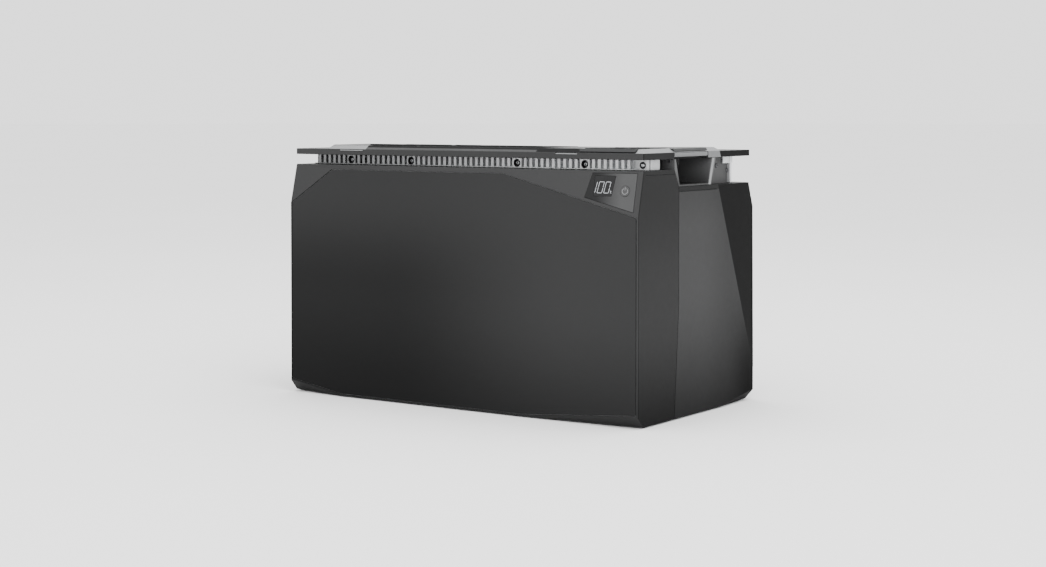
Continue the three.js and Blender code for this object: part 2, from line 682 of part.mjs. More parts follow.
function breakerToggle() {
  const { x: [x0, x1], y: [y0, y1], pivotZ, reach } = BREAKER;
  const middleX = (x0 + x1) / 2;
  const middleY = (y0 + y1) / 2;
  const hub = roundX(0, 0, 4.6, -7, 7, 20);
  const lever = hull([[-6, -2.2, 0], [6, -2.2, 0], [6, 2.2, 0], [-6, 2.2, 0],
    [-5, -1.3, reach], [5, -1.3, reach], [5, 1.3, reach], [-5, 1.3, reach]]);
  const toggle = join(hub, lever).rotateX(THREE.MathUtils.degToRad(TOGGLE_TILT));
  return toggle.translate(middleX, middleY, pivotZ);
}

// Two stacked sockets that face up, in one shell.
const SOCKET_BLOCK = { x: [-44, -8], y: [-78, -58], top: 277 };

function commPorts() {
  const { x: [x0, x1], y: [y0, y1], top } = SOCKET_BLOCK;
  const half = (x1 - x0) / 4;
  const sockets = [x0 + half, x1 - half].flatMap((x) => [
    block(x - 6, x + 6, y0 + 4, y0 + 12, top - 11, top + 5),
    block(x - 2.5, x + 2.5, y0 + 11, y0 + 14.5, top - 11, top + 5),
  ]);
  return cut(block(x0, x1, y0, y1, WELL_FLOOR, top), ...sockets);
}

const SIGNAL_BLOCK = { x: [10, 62], y: [-76, -60], top: 274 };

function signalTerminals() {
  const { x: [x0, x1], y: [y0, y1], top } = SIGNAL_BLOCK;
  const poles = 8;
  const pitch = (x1 - x0 - 4) / poles;
  const holes = [];
  for (let i = 0; i < poles; i += 1) {
    const x = x0 + 2 + (i + 0.5) * pitch;
    holes.push(block(x - 1.9, x + 1.9, y0 + 2, y0 + 6, top - 5, top + 5));
    holes.push(roundZ(x, y1 - 4.5, 1.8, top - 3, top + 5, 8));
  }
  return cut(block(x0, x1, y0, y1, WELL_FLOOR, top), ...holes);
}

const TERMINAL_X = [180, 207];
const TERMINAL_Y = -73;
const TERMINAL_TOP = 284;

function terminalBlock() {
  const base = block(168, 219, -86, -60, WELL_FLOOR, 270);
  const divider = block(192.2, 194.8, -86, -60, 269, 281);
  const seats = TERMINAL_X.map((x) => roundZ(x, TERMINAL_Y, 7.3, 266, 290, 6));
  return cut(join(base, divider), ...seats);
}

function terminalPost(x) {
  const hex = roundZ(x, TERMINAL_Y, 7, 266, 272, 6);
  const post = roundZ(x, TERMINAL_Y, 4, 271, TERMINAL_TOP, 20);
  return join(hex, post);
}

function addConnections() {
  add('breaker_body', breakerBody(), darkPlastic());
  add('breaker_toggle', breakerToggle(), darkPlastic());
  add('comm_ports', commPorts(), steel());
  add('signal_terminals', signalTerminals(), circuitBoard());
  add('terminal_block', terminalBlock(), darkPlastic());
  add('positive_terminal', terminalPost(TERMINAL_X[1]), brass());
  add('negative_terminal', terminalPost(TERMINAL_X[0]), brass());
}

// ---------------------------------------------------------------- inside
function cell(x, z) {
  const halfT = CELL.thickness / 2 - GAP;
  const halfW = CELL.width / 2;
  const c = 3;
  const can = prismZ([[x - halfT + c, -halfW], [x + halfT - c, -halfW], [x + halfT, -halfW + c],
    [x + halfT, halfW - c], [x + halfT - c, halfW], [x - halfT + c, halfW],
    [x - halfT, halfW - c], [x - halfT, -halfW + c]],
  z, z + CELL.height);
  const pads = [-1, 1].map((s) => block(x - 10, x + 10, s * 52 - 9, s * 52 + 9, z + CELL.height - 1,
    z + CELL.height + CELL.pad));
  return join(can, ...pads);
}

// Insulating sheet that carries the links between neighbouring cells of one tier.
function busbarCarrier(z, halfX) {
  const sheet = block(-halfX, halfX, -74, 74, z, z + 1.6);
  const bars = [];
  for (let i = 0; i < CELLS_PER_TIER - 1; i += 1) {
    const x = (i + 1 - CELLS_PER_TIER / 2) * CELL.thickness;
    const y = i % 2 ? 52 : -52;
    bars.push(block(x - 34, x + 34, y - 8, y + 8, z + 1.5, z + 3.4));
  }
  return join(sheet, ...bars);
}

function endPlate(z0, z1) {
  const x0 = (CELLS_PER_TIER * CELL.thickness) / 2;
  const plate = block(x0, x0 + 6, -78, 78, z0, z1);
  const ribs = [-60, -20, 20, 60].map((y) => block(x0 + 5, x0 + 10, y - 3, y + 3, z0, z1));
  return join(plate, ...ribs);
}

function bmsBoard() {
  const board = block(-120, 150, -30, 78, 259, 260.6);
  const chips = [[-90, 0], [-50, 30], [0, 10], [60, 40], [100, -5]].map(([x, y]) =>
    block(x - 9, x + 9, y - 9, y + 9, 260.5, 263));
  const shunt = block(-20, 20, 58, 72, 260.5, 268);
  return join(board, ...chips, shunt);
}

function mainFuse() {
  const tube = roundX(20, 268, 9, -178, -148, 20);
  const blades = block(-190, -136, 14, 26, 266.5, 269.5);
  return join(tube, blades);
}

function addInside() {
  const lower = BASE_TOP + GAP;
  const tierStep = CELL.height + CELL.pad + 3.4 + 3 * GAP;
  for (let i = 0; i < 2 * CELLS_PER_TIER; i += 1) {
    const tier = Math.floor(i / CELLS_PER_TIER);
    const x = ((i % CELLS_PER_TIER) + 0.5 - CELLS_PER_TIER / 2) * CELL.thickness;
    add(`cell_${String(i + 1).padStart(2, '0')}`, cell(x, lower + tier * tierStep), cellFilm());
  }
  const carrierZ = lower + CELL.height + CELL.pad + GAP;
  add('lower_busbar_carrier', busbarCarrier(carrierZ, 199), brass());
  add('upper_busbar_carrier', busbarCarrier(carrierZ + tierStep, 190), brass());
  const plate = endPlate(lower, 247);
  add('right_end_plate', plate, steel());
  add('left_end_plate', mirrorX(plate), steel());
  add('bms_board', bmsBoard(), circuitBoard());
  add('main_fuse', mainFuse(), darkPlastic());
}

addCase();
addNeck();
addTop();
addDisplay();
addConnections();
addInside();

export default battery;
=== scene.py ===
import json
import math

import bmesh
import bpy
from mathutils import Matrix, Vector


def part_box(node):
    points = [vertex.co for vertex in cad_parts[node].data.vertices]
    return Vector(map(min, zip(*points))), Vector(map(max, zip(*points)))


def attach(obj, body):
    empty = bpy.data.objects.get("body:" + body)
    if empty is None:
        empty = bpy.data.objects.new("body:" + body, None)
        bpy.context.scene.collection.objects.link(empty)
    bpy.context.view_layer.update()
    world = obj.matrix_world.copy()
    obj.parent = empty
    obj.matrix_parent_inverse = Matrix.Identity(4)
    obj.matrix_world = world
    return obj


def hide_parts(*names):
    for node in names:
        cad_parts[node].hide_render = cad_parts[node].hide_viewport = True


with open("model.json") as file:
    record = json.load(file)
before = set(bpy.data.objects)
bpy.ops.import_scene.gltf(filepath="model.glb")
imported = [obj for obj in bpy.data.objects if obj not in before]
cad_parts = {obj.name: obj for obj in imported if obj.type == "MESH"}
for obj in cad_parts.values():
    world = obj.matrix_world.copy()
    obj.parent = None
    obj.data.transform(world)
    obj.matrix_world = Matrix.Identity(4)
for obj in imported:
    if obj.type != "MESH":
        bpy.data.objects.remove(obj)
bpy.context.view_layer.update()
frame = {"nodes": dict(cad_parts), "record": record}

MM = 0.001
NODES = frame["nodes"]
SLOT_OF = {}
for entry in frame["record"]["subparts"]:
    SLOT_OF[entry["node"]] = entry.get("material_slot") or entry.get("slot")
BODY_OF = {}
for body, members in frame["record"]["behaviour"]["bodies"].items():
    for member in members:
        BODY_OF[member] = body


# ---------------------------------------------------------------- materials
# A noise texture rarely leaves this range.
NOISE_LOW = 0.3
NOISE_HIGH = 0.7
BLACK = (0.0, 0.0, 0.0)


class Graph:
    """A node material with a Principled surface and short helpers for procedural detail."""

    def __init__(self, name):
        self.material = bpy.data.materials.new(name)
        self.material.use_nodes = True
        self.nodes = self.material.node_tree.nodes
        self.links = self.material.node_tree.links
        self.shader = self.nodes["Principled BSDF"]
        self.place = self.add("ShaderNodeTexCoord").outputs["Object"]

    def add(self, kind, **settings):
        node = self.nodes.new(kind)
        for key, value in settings.items():
            setattr(node, key, value)
        return node

    def join(self, source, target):
        self.links.new(source, target)

    def noise(self, scale, detail=2.0, roughness=0.5, stretch=(1, 1, 1)):
        mapping = self.add("ShaderNodeMapping")
        mapping.inputs["Scale"].default_value = stretch
        self.join(self.place, mapping.inputs["Vector"])
        texture = self.add("ShaderNodeTexNoise")
        texture.inputs["Scale"].default_value = scale
        texture.inputs["Detail"].default_value = detail
        texture.inputs["Roughness"].default_value = roughness
        self.join(mapping.outputs["Vector"], texture.inputs["Vector"])
        return texture.outputs["Fac"]

    def wave(self, scale, axis):
        texture = self.add("ShaderNodeTexWave", wave_type="BANDS", bands_direction=axis, wave_profile="SIN")
        texture.inputs["Scale"].default_value = scale
        self.join(self.place, texture.inputs["Vector"])
        return texture.outputs["Fac"]

    def along(self, axis, start, end):
        """0 at start and 1 at end, along one axis of the part."""
        split = self.add("ShaderNodeSeparateXYZ")
        self.join(self.place, split.inputs["Vector"])
        return self.span(split.outputs[axis], start, end, 0, 1, smooth=True)

    def fade(self, axis, start, end, first, last):
        """Tone that runs from first to last along an axis, used as painted shade; either end may itself be
        a fade.
        """
        node = self.add("ShaderNodeMix", data_type="FLOAT")
        self.join(self.along(axis, start, end), node.inputs[0])
        for socket, value in ((node.inputs[2], first), (node.inputs[3], last)):
            if isinstance(value, tuple):
                self.join(self.fade(*value), socket)
            else:
                socket.default_value = value
        return node.outputs[0]

    def painted_shade(self, entries):
        """Painted shade: the product of several fade ramps, or nothing when there are none."""
        tone = None
        for entry in entries:
            step = self.fade(*entry)
            tone = self.multiply(tone, step) if tone else step
        return tone

    def span(self, value, from_low, from_high, low, high, smooth=False):
        kind = "SMOOTHSTEP" if smooth else "LINEAR"
        node = self.add("ShaderNodeMapRange", interpolation_type=kind)
        self.join(value, node.inputs["Value"])
        node.inputs["From Min"].default_value = from_low
        node.inputs["From Max"].default_value = from_high
        node.inputs["To Min"].default_value = low
        node.inputs["To Max"].default_value = high
        return node.outputs["Result"]

    def spread(self, noise, low, high):
        """The usual range of a noise, stretched from low to high."""
        return self.span(noise, NOISE_LOW, NOISE_HIGH, low, high)

    def blend(self, factor, first, second):
        node = self.add("ShaderNodeMix", data_type="RGBA")
        self.join(factor, node.inputs[0])
        for socket, value in ((node.inputs[6], first), (node.inputs[7], second)):
            if isinstance(value, tuple):
                socket.default_value = (*value, 1)
            else:
                self.join(value, socket)
        return node.outputs[2]

    def tint(self, factor, colour, dark, light):
        """A colour that drifts between a darker and a lighter shade of itself."""
        return self.blend(factor, shade(colour, dark), shade(colour, light))

    def multiply(self, first, second):
        node = self.add("ShaderNodeMath", operation="MULTIPLY")
        for socket, value in zip(node.inputs, (first, second)):
            if isinstance(value, float):
                socket.default_value = value
            else:
                self.join(value, socket)
        return node.outputs[0]

    def colour(self, value, tone=None):
        """Sets the base colour, darkened by a tone of painted shade when there is one."""
        self.join(self.blend(tone, BLACK, value) if tone else value, self.shader.inputs["Base Color"])

    def rough(self, value):
        self.join(value, self.shader.inputs["Roughness"])

    def bump(self, height, depth, strength=1.0, under=None):
        node = self.add("ShaderNodeBump")
        node.inputs["Strength"].default_value = strength
        node.inputs["Distance"].default_value = depth
        self.join(height, node.inputs["Height"])
        if under is not None:
            self.join(under, node.inputs["Normal"])
        self.join(node.outputs["Normal"], self.shader.inputs["Normal"])
        return node.outputs["Normal"]

    def set(self, **values):
        for key, value in values.items():
            self.shader.inputs[key.replace("_", " ")].default_value = value
        return self


def shade(colour, factor):
    return tuple(channel * factor for channel in colour)


def coated_metal(name, colour, level, painted_shade=(), low=0.46, high=0.50):
    """Fine powder coat: orange peel and grain in the surface, slow drift in tone and sheen.
    Each fade is (axis, start, end, tone at start, tone at end), in metres along the part: painted shade
    that darkens the colour and scales the specular level."""
    g = Graph(name)
    grain_depth = 0.03 * MM
    peel_depth = 0.009 * MM
    speck = g.noise(1500, detail=1)
    toned = g.tint(g.noise(7, detail=3), colour, 0.96, 1.04)
    fine = g.blend(g.span(speck, 0.35, 0.65, 0, 1), toned, shade(colour, 1.2))
    # tone: painted shade along the part, or nothing
    tone = g.painted_shade(painted_shade)
    g.colour(fine, tone)
    # The painted shade also scales the specular level, so the sheen is painted down with it.
    if tone:
        g.join(g.multiply(tone, level), g.shader.inputs["Specular IOR Level"])
    else:
        g.set(Specular_IOR_Level=level)
    g.rough(g.spread(g.noise(160, detail=3), low, high))
    peel = g.bump(g.noise(420, detail=2), peel_depth, strength=0.5)
    g.bump(speck, grain_depth, strength=0.6, under=peel)
    return g.material


def moulded(name, colour, roughness, grain=1900, depth=0.05 * MM, level=0.4):
    """Moulded plastic with a spark-eroded texture."""
    g = Graph(name)
    speck = g.noise(grain, detail=2)
    g.colour(g.tint(g.noise(12, detail=3), colour, 0.92, 1.1))
    g.rough(g.spread(g.noise(55, detail=3), roughness - 0.05, roughness + 0.06))
    g.bump(speck, depth, strength=0.7)
    g.set(Specular_IOR_Level=level)
    return g.material


def blasted(name, colour, roughness, metallic, grain=1200, depth=0.08 * MM, painted_shade=()):
    """Bare cast or blasted aluminium; any fade ramps darken its colour as painted shade."""
    g = Graph(name)
    speck = g.noise(grain, detail=3)
    cloud = g.noise(18, detail=4)
    toned = g.tint(cloud, colour, 0.86, 1.08)
    fine = g.blend(g.span(speck, 0.4, 0.75, 0, 0.5), toned, shade(colour, 0.8))
    # tone: painted shade along the part, or nothing
    tone = g.painted_shade(painted_shade)
    g.colour(fine, tone)
    g.rough(g.spread(g.noise(70, detail=4), roughness - 0.05, roughness + 0.08))
    g.bump(speck, depth, strength=0.7)
    g.set(Metallic=metallic)
    return g.material


def brushed(name, colour, roughness, axis, metallic=1.0):
    """Drawn or turned metal with fine streaks along one axis."""
    g = Graph(name)
    across = 260
    along = 6
    stretch = [along if letter == axis else across for letter in "XYZ"]
    streak = g.noise(14, detail=4, roughness=0.6, stretch=stretch)
    g.colour(g.tint(streak, colour, 0.82, 1.1))
    g.rough(g.spread(streak, roughness - 0.06, roughness + 0.1))
    g.bump(streak, 0.03 * MM, strength=0.6)
    g.set(Metallic=metallic)
    return g.material


def soft_grip(name, colour):
    """Soft-touch overmould with a dusty bloom."""
    g = Graph(name)
    cloud = g.noise(25, detail=5, roughness=0.6)
    g.colour(g.tint(cloud, colour, 0.88, 1.1))
    g.rough(g.spread(cloud, 0.6, 0.74))
    g.bump(g.noise(1300, detail=2), 0.06 * MM, strength=0.7)
    g.set(Specular_IOR_Level=0.3, Sheen_Weight=0.15, Sheen_Roughness=0.5)
    return g.material


def bezel_finish(name):
    """Smooth satin frame; the right half is a lighter grey than the left."""
    g = Graph(name)
    tone = g.blend(g.along("X", 0.184, 0.222), (0.009, 0.0091, 0.0093), (0.052, 0.0525, 0.053))
    g.colour(g.blend(g.spread(g.noise(30, detail=3), 0, 0.12), tone, (0.03, 0.03, 0.031)))
    g.rough(g.spread(g.noise(60, detail=3), 0.36, 0.44))
    g.bump(g.noise(1600, detail=2), 0.02 * MM, strength=0.6)
    g.set(Specular_IOR_Level=0.1)
    return g.material


def smoked_lens(name):
    """Tinted polished window over the display."""
    g = Graph(name)
    cloud = g.noise(30, detail=3)
    g.colour(g.blend(cloud, (0.009, 0.0091, 0.0094), (0.012, 0.0122, 0.0125)))
    g.rough(g.spread(g.noise(90, detail=4), 0.14, 0.24))
    g.bump(g.noise(25, detail=2), 0.02 * MM, strength=0.3)
    g.set(Specular_IOR_Level=0.1)
    return g.material


def board_finish(name):
    """Solder mask with fine traces and pads."""
    g = Graph(name)
    lines = g.multiply(g.wave(220, "X"), g.wave(160, "Z"))
    tone = g.blend(g.noise(60, detail=4), (0.012, 0.085, 0.042), (0.02, 0.13, 0.062))
    g.colour(g.blend(g.span(lines, 0.55, 0.65, 0, 0.6), tone, (0.10, 0.20, 0.08)))
    g.rough(g.spread(g.noise(80, detail=3), 0.3, 0.45))
    g.bump(lines, 0.08 * MM, strength=0.5)
    return g.material


def film_finish(name):
    """Shrink film over a cell, slightly wrinkled."""
    g = Graph(name)
    cloud = g.noise(16, detail=5, roughness=0.6)
    g.colour(g.blend(cloud, (0.02, 0.09, 0.30), (0.04, 0.14, 0.42)))
    g.rough(g.spread(g.noise(45, detail=3), 0.22, 0.38))
    g.bump(g.noise(38, detail=5, roughness=0.6), 0.3 * MM, strength=0.35)
    g.set(Coat_Weight=0.2)
    return g.material


def glowing(name, colour, strength):
    """Softly lit print with a fine dot pattern."""
    g = Graph(name)
    dots = g.noise(2400, detail=1)
    g.colour(g.blend(dots, shade(colour, 0.8), colour))
    g.join(g.blend(dots, shade(colour, 0.86), colour), g.shader.inputs["Emission Color"])
    g.shader.inputs["Emission Strength"].default_value = strength
    g.rough(g.spread(dots, 0.35, 0.5))
    return g.material


def floor_finish(name):
    """Pale matt floor."""
    g = Graph(name)
    g.colour(g.blend(g.noise(1.5, detail=3), (0.83, 0.83, 0.83), (0.87, 0.87, 0.87)))
    g.rough(g.spread(g.noise(9, detail=3), 0.85, 0.95))
    g.set(Specular_IOR_Level=0.1)
    return g.material


GRAPHITE = (0.0200, 0.0201, 0.0204)
LOOK = {
    # The case coat: a lighter copy of the graphite paint with painted shade, darker towards the bottom and
    # the -X side.
    "case": coated_metal("case_powder_coat_painted_shade", shade(GRAPHITE, 1.15), level=0.12,
                         painted_shade=[("Z", -0.02, 0.15, 0.45, 1.0), ("X", -0.24, 0.24, 0.85, 1.25)]),
    "panel": coated_metal("panel_satin_coat", GRAPHITE, level=0.15, low=0.38, high=0.48),
    "dark_plastic": moulded("deck_plastic", (0.02, 0.0205, 0.021), roughness=0.46, level=0.25),
    "display_frame": bezel_finish("display_frame_satin"),
    "trim": blasted("trim_blasted", (0.19, 0.193, 0.197), roughness=0.42, metallic=0.3, grain=1700,
                    depth=0.04 * MM),
    "cast_aluminium": blasted("heat_sink_cast", (0.66, 0.67, 0.68), roughness=0.42, metallic=0.6),
    "grip": soft_grip("grip_soft_touch", (0.10, 0.102, 0.105)),
    "rubber": moulded("foot_rubber", (0.016, 0.016, 0.018), roughness=0.78, grain=1400, depth=0.1 * MM,
                      level=0.3),
    "steel": brushed("steel_zinc", (0.52, 0.53, 0.54), roughness=0.34, axis="X"),
    "brass": brushed("terminal_brass", (0.70, 0.48, 0.20), roughness=0.28, axis="Z"),
    "circuit_board": board_finish("board_solder_mask"),
    "connector": moulded("connector_green", (0.03, 0.2, 0.075), roughness=0.4),
    "cell": film_finish("cell_film"),
    "lens": smoked_lens("display_lens_tint"),
}

# Coats with painted shade: their tone changes over the part to stand in for how light falls on it.
# Painted shade: the front panel darker towards the bottom and the left.
FRONT_COAT_PAINTED_SHADE = coated_metal(
    "front_panel_coat_painted_shade", shade(GRAPHITE, 1.05), level=0.15, low=0.38, high=0.48,
    painted_shade=[("X", -0.1, 0.17,
            ("Z", 0.13, 0.25, ("Z", 0.02, 0.13, 0.27, 0.38), 0.68),
            ("Z", -0.02, 0.13, 0.45, 0.8))])
# Painted shade: the side panels darker towards the bottom, the top edge and the rear, darkest at the lower
# rear.
SIDE_COAT_PAINTED_SHADE = coated_metal(
    "side_panel_coat_painted_shade", shade(GRAPHITE, 1.15), level=0.09,
    painted_shade=[("Z", -0.02, 0.15, 0.3, 1.0), ("Y", 0.0, 0.08, 1.0, 0.75), ("Z", 0.2, 0.26, 1.0, 0.8),
           ("Y", 0.06, 0.12, 1.0, ("Z", 0.03, 0.15, 0.45, 1.0))])
# Painted shade: the front cover's side strip, a darker copy of the paint, darker still towards the bottom
# and near the top.
STRIP_COAT_PAINTED_SHADE = coated_metal("front_cover_side_painted_shade", shade(GRAPHITE, 0.64), level=0.06,
                          painted_shade=[("Z", -0.02, 0.12, 0.35, 1.0), ("Z", 0.15, 0.25, 1.0, 0.8)])
# Painted shade: the top plate's end faces, a darker copy of the paint, darker still towards the rear.
PLATE_END_PAINTED_SHADE = coated_metal("plate_end_painted_shade", shade(GRAPHITE, 0.5), level=0.05,
                              painted_shade=[("Y", -0.1, 0.05, 1.0, 0.5)])
# Painted light and shade: the neck a much lighter copy of the paint, darker over its front and middle.
NECK_COAT_PAINTED_LIGHT_AND_SHADE = coated_metal("neck_coat_painted_light_and_shade", shade(GRAPHITE, 2.4), level=0.12,
                         painted_shade=[("Y", 0.03, 0.05, 0.35, 1.0)])
# Painted light and shade: the hand pocket's walls a much lighter copy of the paint, darker towards the
# bottom.
HOLD_COAT_PAINTED_LIGHT_AND_SHADE = coated_metal("hand_hold_coat_painted_light_and_shade", shade(GRAPHITE, 3.4), level=0.12,
                         painted_shade=[("Z", 0.252, 0.28, 0.45, 1.0)])
# Painted shade: the front heat sink darker towards the left, and again at its right end.
FRONT_FINS_PAINTED_SHADE = blasted("front_heat_sink_cast_painted_shade", (0.72, 0.73, 0.74), roughness=0.42, metallic=0.6,
                     painted_shade=[("X", -0.24, 0.2, 0.35, 1.0), ("X", 0.205, 0.225, 1.0, 0.6)])

# Even coats and finishes. Some are lighter or darker copies of the graphite paint, standing as painted
# light and shade.
# Painted shade: the slanted rear facets, a much darker copy of the paint with little sheen.
FACET_PAINTED_SHADE = coated_metal("side_facet_painted_shade", shade(GRAPHITE, 0.2), level=0.02)
# Painted light: the floor of the front panel's recess, a much lighter copy of the paint, so the seam round
# the panel looks less dark.
SEAM_PAINTED_LIGHT = coated_metal("seam_painted_light", shade(GRAPHITE, 5.0), level=0.3)
# Painted shade: the lip above the side groove, a darker copy of the paint.
LIP_PAINTED_SHADE = coated_metal("side_lip_painted_shade", shade(GRAPHITE, 0.5), level=0.04)
# Painted shade: the hand pocket's floor, a darker copy of the paint.
HOLD_FLOOR_PAINTED_SHADE = coated_metal("hand_hold_floor_painted_shade", shade(GRAPHITE, 0.7), level=0.05)
COVER_PLASTIC = moulded("cover_plastic", (0.007, 0.0071, 0.0073), roughness=0.75, level=0.08)
# Black plastic of the negative terminal's ring; its own colour.
BLACK_PLASTIC = moulded("terminal_black_plastic", (0.006, 0.006, 0.007), roughness=0.7)
RED_PLASTIC = moulded("terminal_red", (0.34, 0.012, 0.01), roughness=0.4)
DARK_TRIM = blasted("trim_dark", (0.011, 0.0112, 0.012), roughness=0.6, metallic=0.05, grain=1700,
                    depth=0.04 * MM)
DARK_STEEL = brushed("screw_black_oxide", (0.09, 0.09, 0.095), roughness=0.38, axis="Y", metallic=0.9)
BRIGHT_STEEL = brushed("screw_zinc", (0.42, 0.43, 0.44), roughness=0.32, axis="Y")
LIGHT_SEGMENT = glowing("display_segment", (0.42, 0.43, 0.45), strength=0.15)
ICON_PAINT = glowing("icon_print", (0.2, 0.2, 0.205), strength=0.06)


# ---------------------------------------------------------------- building pieces
SMOOTH_ANGLE = 38
BEVEL_ANGLE = 28
FLAT_ANGLE = 0.5
WELD = 0.002 * MM


def make_piece(name, bm, material, body="pack"):
    """Turns a bmesh into a shown piece that rides on a CAD body."""
    bmesh.ops.recalc_face_normals(bm, faces=bm.faces[:])
    mesh = bpy.data.meshes.new(name)
    bm.to_mesh(mesh)
    bm.free()
    piece = bpy.data.objects.new(name, mesh)
    bpy.context.scene.collection.objects.link(piece)
    mesh.materials.append(material)
    mesh.polygons.foreach_set("use_smooth", [True] * len(mesh.polygons))
    mesh.set_sharp_from_angle(angle=math.radians(SMOOTH_ANGLE))
    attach(piece, body)
    return piece


def soften(piece, width, segments=2):
    """Breaks a piece's sharp edges and keeps its flat faces looking flat; width in mm."""
    bevel = piece.modifiers.new("edge_break", "BEVEL")
    bevel.width = width * MM
    bevel.segments = segments
    bevel.limit_method = "ANGLE"
    bevel.angle_limit = math.radians(BEVEL_ANGLE)
    bevel.use_clamp_overlap = False
    bevel.miter_outer = "MITER_ARC"
    weighted = piece.modifiers.new("flat_faces_first", "WEIGHTED_NORMAL")
    weighted.keep_sharp = True


def cleaned(node):
    """The CAD node's surface as one welded mesh with its flat faces merged."""
    bm = bmesh.new()
    bm.from_mesh(NODES[node].data)
    bmesh.ops.remove_doubles(bm, verts=bm.verts[:], dist=WELD)
    bmesh.ops.dissolve_limit(bm, angle_limit=math.radians(FLAT_ANGLE), verts=bm.verts[:], edges=bm.edges[:],
                             use_dissolve_boundaries=False)
    return bm


def finished(node, material=None, *, width, segments=2, prepare=None):
    """A shown copy of a CAD node with broken edges, in place of that node."""
    bm = cleaned(node)
    if prepare:
        prepare(bm)
    slot = SLOT_OF[node]
    piece = make_piece(f"{node}_finished", bm, material or LOOK[slot], BODY_OF[node])
    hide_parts(node)
    soften(piece, width, segments)
    return piece


def is_upright(a, b):
    """A fairly long edge that runs mostly up."""
    rise = abs(a.z - b.z)
    return rise > 20 * MM and math.hypot(a.x - b.x, a.y - b.y) < 0.3 * rise


def near(value, target, slack=0.6 * MM):
    return abs(value - target) < slack


def rings(bm, profile, steps, place, wobble=None, hole=False):
    """Surface of revolution: profile is [(radius, height)]; wobble changes the radius of some rings.
    With a hole, the last ring joins the first instead of being capped."""
    loops = []
    for index, (radius, height) in enumerate(profile):
        loop = []
        for step in range(steps):
            angle = 2 * math.pi * step / steps
            reach = radius * (wobble(index, angle) if wobble else 1)
            spot = Vector((reach * math.cos(angle), reach * math.sin(angle), height))
            loop.append(bm.verts.new(place @ spot))
        loops.append(loop)
    pairs = list(zip(loops, loops[1:]))
    if hole:
        pairs.append((loops[-1], loops[0]))
    for lower, upper in pairs:
        for step in range(steps):
            after = (step + 1) % steps
            bm.faces.new((lower[step], lower[after], upper[after], upper[step]))
    if not hole:
        bm.faces.new(loops[-1])
        bm.faces.new(list(reversed(loops[0])))


def facing(point, normal):
    """Matrix that puts a local +Z-up shape at a point, facing along a normal."""
    turn = Vector(normal).normalized().to_track_quat("Z", "Y").to_matrix().to_4x4()
    return Matrix.Translation(Vector(point) * MM) @ turn


SCREW_STEPS = 24
LOBE_COUNT = 6
LOBE_DEPTH = 0.12


def lobed_from(first):
    """Gives the rings of a screw's recess, from the first one on, their six lobes."""
    def lobes(index, angle):
        return 1 + LOBE_DEPTH * math.cos(LOBE_COUNT * angle) if index >= first else 1
    return lobes


def screw(bm, point, normal, radius, height):
    """Button-head screw with a six-lobed recess."""
    r = radius * MM
    h = height * MM
    head = [(r, -0.4 * MM), (r, 0.25 * h), (0.93 * r, 0.62 * h), (0.74 * r, 0.92 * h), (0.5 * r, h)]
    recess = [(0.42 * r, h), (0.38 * r, 0.15 * h)]
    rings(bm, head + recess, SCREW_STEPS, facing(point, normal), lobed_from(len(head)))


def flat_screw(bm, point, normal, radius):
    """Countersunk screw, nearly flush with the surface round it."""
    r = radius * MM
    face = 0.2 * MM
    head = [(r, -0.3 * MM), (r, 0.12 * MM), (0.94 * r, face)]
    recess = [(0.46 * r, face), (0.4 * r, -0.25 * MM)]
    rings(bm, head + recess, SCREW_STEPS, facing(point, normal), lobed_from(len(head)))


def prism(bm, points, place, low, high):
    """Straight prism in the local frame of place; points in mm, low and high along local Z."""
    bottom = [bm.verts.new(place @ Vector((x * MM, y * MM, low * MM))) for x, y in points]
    top = [bm.verts.new(place @ Vector((x * MM, y * MM, high * MM))) for x, y in points]
    bm.faces.new(list(reversed(bottom)))
    bm.faces.new(top)
    count = len(points)
    for index in range(count):
        after = (index + 1) % count
        bm.faces.new((bottom[index], bottom[after], top[after], top[index]))


def hull_piece(bm, corners):
    """Convex solid round its corners, in mm."""
    verts = [bm.verts.new(Vector(corner) * MM) for corner in corners]
    found = bmesh.ops.convex_hull(bm, input=verts)
    spare = found["geom_unused"] + found["geom_interior"]
    unused = {item for item in spare if isinstance(item, bmesh.types.BMVert)}
    bmesh.ops.delete(bm, geom=list(unused), context="VERTS")


def split_at(bm, point, normal):
    """Cuts the surface along a plane, leaving both sides in place."""
    bmesh.ops.bisect_plane(bm, geom=bm.verts[:] + bm.edges[:] + bm.faces[:], dist=1e-7,
                           plane_co=point, plane_no=normal)


# ---------------------------------------------------------------- case
CASE_HALF_W = 241.3 * MM
CORNER_MIN_Y = 115 * MM
CORNER_RADIUS = 1.7 * MM
SIDE_LIP_Z = 247.4 * MM
RECESS_FLOOR_Y = -128.3 * MM
SIDEWAYS = 0.8          # least X of the normal of a face that looks to the side
SIDE_LEAN = 0.01        # least Y of the normal of the slanted facet behind a side wall


def round_case_corner(bm):
    """The corner lines of a cover are folded with a small radius."""
    def at_corner(point):
        return near(abs(point.x), CASE_HALF_W) and abs(point.y) > CORNER_MIN_Y

    def is_corner(edge):
        a, b = (vert.co for vert in edge.verts)
        return is_upright(a, b) and at_corner(a) and at_corner(b)

    bmesh.ops.bevel(bm, geom=[edge for edge in bm.edges if is_corner(edge)], offset=CORNER_RADIUS,
                    offset_type="OFFSET", segments=4, profile=0.5, affect="EDGES", clamp_overlap=True)


def split_lip(bm):
    """Cuts a side panel along the groove under its top lip, so the lip can take its darker painted shade.
    """
    split_at(bm, (0, 0, SIDE_LIP_Z), (0, 0, 1))


def is_recess_floor(face):
    """Floor of the recess that the front panel sits in."""
    return face.normal.y < -0.999 and near(face.center.y, RECESS_FLOOR_Y, 0.3 * MM)


